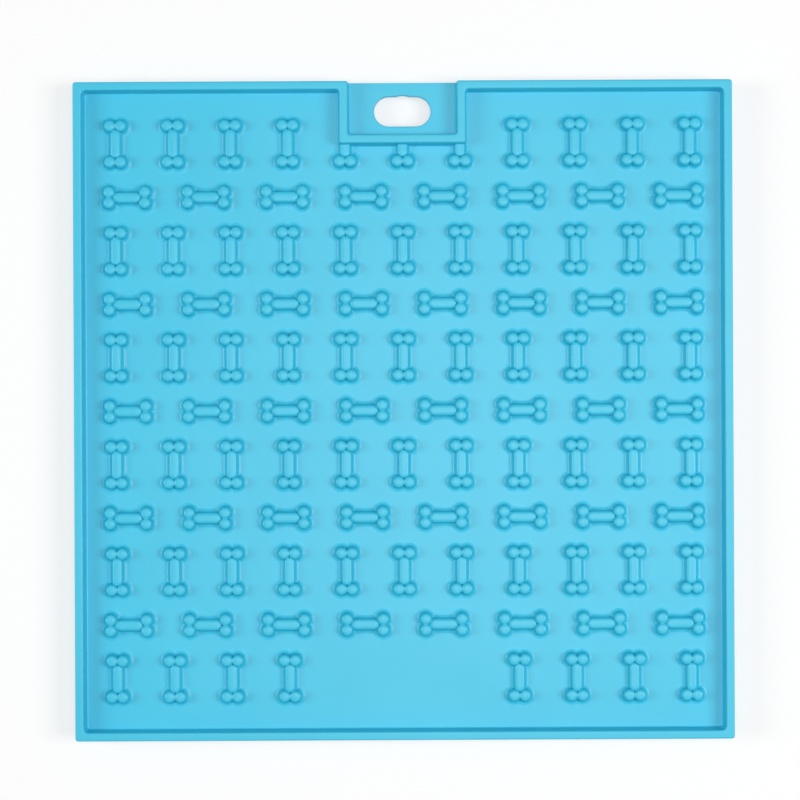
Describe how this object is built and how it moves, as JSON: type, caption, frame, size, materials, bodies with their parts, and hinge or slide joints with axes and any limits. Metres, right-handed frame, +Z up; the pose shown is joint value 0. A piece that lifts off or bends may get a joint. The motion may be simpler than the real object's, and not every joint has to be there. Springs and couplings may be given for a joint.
{
  "type": "lick mat",
  "caption": "Square soft silicone pet lick mat: a shallow rimmed tray of raised bone shapes that hold spread food, with a guarded hanging slot and suction cups below.",
  "frame": {"origin": "on the surface that the suction cups stand on, under the middle of the mat", "axes": "+Z up out of the food side, +Y towards the hanging slot, +X to the right seen from above"},
  "size_m": [0.2, 0.2, 0.0098],
  "materials": {
    "silicone": "satin light-blue silicone rubber"
  },
  "bodies": {
    "root": {"base_sheet": "silicone", "border_rim": "silicone", "guard_trimmed_bones": "silicone", "hanger_guard": "silicone", "level_bone_row_1": "silicone", "level_bone_row_2": "silicone", "level_bone_row_3": "silicone", "level_bone_row_4": "silicone", "level_bone_row_5": "silicone", "suction_cup_row_1": "silicone", "suction_cup_row_2": "silicone", "suction_cup_row_3": "silicone", "suction_cup_row_4": "silicone", "suction_cup_row_5": "silicone", "suction_cup_row_6": "silicone", "upright_bone_row_1": "silicone", "upright_bone_row_2": "silicone", "upright_bone_row_3": "silicone", "upright_bone_row_4": "silicone", "upright_bone_row_5": "silicone", "upright_bone_row_6": "silicone"}
  },
  "joints": []
}
